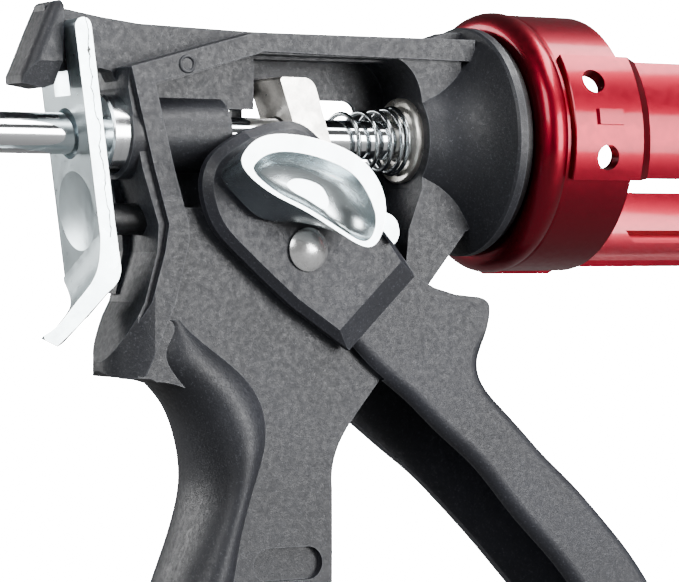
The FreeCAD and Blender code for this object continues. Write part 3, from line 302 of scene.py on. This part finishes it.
MATERIALS = {
    "black_nylon": nylon("black_nylon", (0.015, 0.016, 0.020), (0.050, 0.053, 0.062)),
    "trigger_nylon": nylon("trigger_nylon", (0.015, 0.016, 0.021), (0.050, 0.053, 0.063)),
    # Painted shade: the washer's near-black, darker than the frame's nylon, stands for the shadowed
    # gap between the flange and the red cup.
    "washer_black": nylon("washer_black", (0.006, 0.006, 0.007), (0.015, 0.015, 0.017)),
    "red_paint": red_paint(),
    "zinc_plate": sheared_zinc(),
    "lever_zinc": zinc("lever_zinc", (0.60, 0.66, 0.68), 0.24, 0.10),
    "rod_steel": polished("rod_steel", (0.86, 0.88, 0.90), 0.07, (0.02, 1, 1)),
    "bush_steel": polished("bush_steel", (0.84, 0.86, 0.88), 0.14, (1, 0.15, 0.15)),
    "drive_steel": sintered("drive_steel", (0.86, 0.83, 0.78), 0.34),
    "spring_steel": polished("spring_steel", (0.46, 0.49, 0.51), 0.16, (1, 1, 1)),
    "seat_steel": sintered("seat_steel", (0.62, 0.60, 0.56), 0.30),
    "rivet_steel": sintered("rivet_steel", (0.86, 0.86, 0.86), 0.24),
    "piston_steel": zinc("piston_steel", (0.66, 0.68, 0.70), 0.28, 0.10),
    "screw_steel": zinc("screw_steel", (0.60, 0.61, 0.62), 0.30, 0.08),
}


def smooth_by_angle(thing, degrees=32.0):
    """Shade a mesh smooth, keeping edges sharper than an angle."""
    for face in thing.data.polygons:
        face.use_smooth = True
    thing.data.set_sharp_from_angle(angle=math.radians(degrees))


def dress(thing, slot_name):
    """Give a piece or node the material of a record slot."""
    thing.data.materials.clear()
    thing.data.materials.append(MATERIALS[slot_name])


def round_edges(thing, width, segments=3, degrees=32.0):
    """Round a CAD node's sharp edges with a modifier."""
    bevel = thing.modifiers.new("round_edges", "BEVEL")
    bevel.width = width
    bevel.segments = segments
    bevel.limit_method = "ANGLE"
    bevel.angle_limit = math.radians(degrees)
    bevel.harden_normals = False
    bevel.use_clamp_overlap = True


def dress_nodes():
    """Every carried-over CAD node gets its slot's material."""
    for entry in frame["record"]["subparts"]:
        node = NODES.get(entry["node"])
        if node is not None and node.type == "MESH":
            dress(node, entry["material_slot"])


# Width in millimetres of the rounding on each node's sharp edges.
ROUNDED = {
    "body_frame": 0.45, "trigger": 0.7, "release_plate": 0.35, "drive_plate": 0.5, "lever_plate": 0.2,
    "thumb_lever": 0.3, "side_rail": 0.2, "lower_rail": 0.2, "front_cap": 0.2, "rear_cup": 0.25,
    "piston_disc": 0.2, "rear_bush": 0.15, "drive_pin": 0.2, "piston_nut": 0.3,
}


def soften_nodes():
    """Smooth shading and lightly rounded edges on the carried-over nodes."""
    for name, node in NODES.items():
        if node.type != "MESH":
            continue
        smooth_by_angle(node)
        if name in ROUNDED:
            round_edges(node, ROUNDED[name] * MM)


# ---------------------------------------------------------------- pieces


def mesh_piece(name, vertices, faces, slot_name, body):
    """A smooth mesh object that rides on a body and wears a record slot's material."""
    mesh = bpy.data.meshes.new(name)
    mesh.from_pydata(vertices, [], faces)
    mesh.update()
    piece = bpy.data.objects.new(name, mesh)
    bpy.context.collection.objects.link(piece)
    for face in mesh.polygons:
        face.use_smooth = True
    dress(piece, slot_name)
    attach(piece, body)
    return piece


def tube_along(points, radius, around=14):
    """Vertices and faces of a round wire that follows a list of points."""
    vertices = []
    faces = []
    for number, point in enumerate(points):
        after = points[min(number + 1, len(points) - 1)]
        before = points[max(number - 1, 0)]
        along = (after - before).normalized()
        side = along.cross(Vector((1, 0, 0))).normalized()
        up = side.cross(along)
        for step in range(around):
            angle = 2 * math.pi * step / around
            vertices.append(point + (side * math.cos(angle) + up * math.sin(angle)) * radius)
    for ring in range(len(points) - 1):
        for step in range(around):
            here = ring * around + step
            beside = ring * around + (step + 1) % around
            faces.append((here, beside, beside + around, here + around))
    faces.append(tuple(range(around - 1, -1, -1)))
    last = (len(points) - 1) * around
    faces.append(tuple(last + step for step in range(around)))
    return vertices, faces


def coil_points(rear, front, radii, turns, crowding, height, start):
    """Points along a coil about X, its turns crowding together towards the front."""
    steps = 300
    points = []
    for step in range(steps + 1):
        share = step / steps
        x = rear + (front - rear) * (1 - (1 - share) ** crowding)
        radius = radii[0] + (radii[1] - radii[0]) * share
        angle = 2 * math.pi * turns * share + math.radians(start)
        points.append(Vector((x, radius * math.cos(angle), height + radius * math.sin(angle))))
    return points


def open_spring():
    """The return spring: wide open coils at the rear, close ones at the front, growing wider."""
    wire = 0.5 * MM
    rear = -34.0 * MM + wire
    front = -17.1 * MM - wire
    points = coil_points(rear, front, (5.0 * MM, 6.9 * MM), 5.6, 1.9, 0.0, 200)
    vertices, faces = tube_along(points, wire)
    spring = mesh_piece("spring_coils", vertices, faces, "spring_steel", "frame")
    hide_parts("return_spring")
    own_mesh(spring)


def hidden_spring():
    """The plunger's small spring, in the blind bore of the rear leg."""
    wire = 0.38 * MM
    height = -16.4 * MM
    rear = -68.9 * MM + wire
    front = -60.1 * MM - wire
    points = coil_points(rear, front, (2.3 * MM, 2.3 * MM), 6, 1.0, height, 0)
    vertices, faces = tube_along(points, wire, 10)
    spring = mesh_piece("plunger_coils", vertices, faces, "spring_steel", "frame")
    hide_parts("plunger_spring")
    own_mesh(spring)


# ---------------------------------------------------------------- studio


def area_light(name, place, target, size, power):
    """A soft white rectangular light aimed at a point."""
    data = bpy.data.lights.new(name, "AREA")
    data.shape = "RECTANGLE"
    data.size, data.size_y = size
    data.energy = power
    lamp = bpy.data.objects.new(name, data)
    bpy.context.collection.objects.link(lamp)
    lamp.location = place
    lamp.rotation_euler = (Vector(target) - Vector(place)).to_track_quat("-Z", "Y").to_euler()


def card(name, place, target, size, shade):
    """A flat card that the bright metal and the lacquer reflect."""
    bpy.ops.mesh.primitive_plane_add(size=1, location=place)
    board = bpy.context.object
    board.name = name
    board.scale = (size[0], size[1], 1)
    board.rotation_euler = (Vector(target) - Vector(place)).to_track_quat("Z", "Y").to_euler()
    shader = Shader(name, (shade, shade, shade), roughness=0.8)
    shader.link(shader.ramp(shader.noise(4, 2.0), shade * 0.8, shade * 1.2), "Base Color")
    board.data.materials.append(shader.material)
    board.visible_camera = False


def white_surround():
    """A world that is plain white to the camera and dimmer as a light."""
    as_light, as_background = 0.12, 30.0
    world = bpy.data.worlds.new("studio_world")
    bpy.context.scene.world = world
    world.use_nodes = True
    tree = world.node_tree
    output = tree.nodes["World Output"]
    lighting = tree.nodes["Background"]
    lighting.inputs["Color"].default_value = (1.0, 1.0, 1.0, 1.0)
    lighting.inputs["Strength"].default_value = as_light
    seen = tree.nodes.new("ShaderNodeBackground")
    seen.inputs["Color"].default_value = (1.0, 1.0, 1.0, 1.0)
    seen.inputs["Strength"].default_value = as_background
    path = tree.nodes.new("ShaderNodeLightPath")
    pick = tree.nodes.new("ShaderNodeMixShader")
    tree.links.new(path.outputs["Is Camera Ray"], pick.inputs["Fac"])
    tree.links.new(lighting.outputs["Background"], pick.inputs[1])
    tree.links.new(seen.outputs["Background"], pick.inputs[2])
    tree.links.new(pick.outputs["Shader"], output.inputs["Surface"])


def studio():
    """A white floor, a white surround, soft lights and a dark card for the metal to reflect.

    The floor lies below the squeezed trigger, whose lower end comes down past the butt of the grip.
    """
    squeezed_reach = 0.034
    floor_height = CAD_BOUNDS[0][2] - squeezed_reach
    bpy.ops.mesh.primitive_plane_add(size=12, location=(0, 2, floor_height))
    floor = bpy.context.object
    floor.name = "studio_floor"
    shader = Shader("studio_white", (0.13, 0.13, 0.13), roughness=0.9)
    shader.link(shader.ramp(shader.noise(3, 2.0), 0.12, 0.14), "Base Color")
    shader.white_to_camera(30.0)
    floor.data.materials.append(shader.material)
    white_surround()
    middle = (-0.04, 0.0, -0.02)
    area_light("front_softbox", (0.50, -1.00, 0.14), middle, (0.60, 0.55), 21)
    area_light("back_left_softbox", (-0.72, 0.85, 0.22), middle, (0.50, 0.45), 8)
    area_light("top_strip", (0.45, -0.30, 0.82), middle, (0.9, 0.34), 20)
    area_light("left_fill", (-0.9, -0.5, 0.45), middle, (0.45, 0.45), 8)
    card("dark_card_left", (-0.75, -0.75, -0.02), middle, (0.6, 0.2), 0.015)


def photo_camera():
    """The main camera: a long lens, almost level, from behind on the right."""
    azimuth, elevation = math.radians(30.5), math.radians(0.8)
    centre = Vector((-0.33348, -0.51486, -0.02240))
    forward = Vector((math.sin(azimuth) * math.cos(elevation), math.cos(azimuth) * math.cos(elevation),
                      -math.sin(elevation)))
    data = bpy.data.cameras.new("photo_camera")
    data.lens = 155.9
    data.sensor_width = 36.0
    data.clip_start = 0.05
    data.clip_end = 40.0
    camera = bpy.data.objects.new("photo_camera", data)
    bpy.context.collection.objects.link(camera)
    camera.location = centre
    camera.rotation_euler = forward.to_track_quat("-Z", "Y").to_euler()
    bpy.context.scene.camera = camera


dress_nodes()
soften_nodes()
open_spring()
hidden_spring()
studio()
photo_camera()
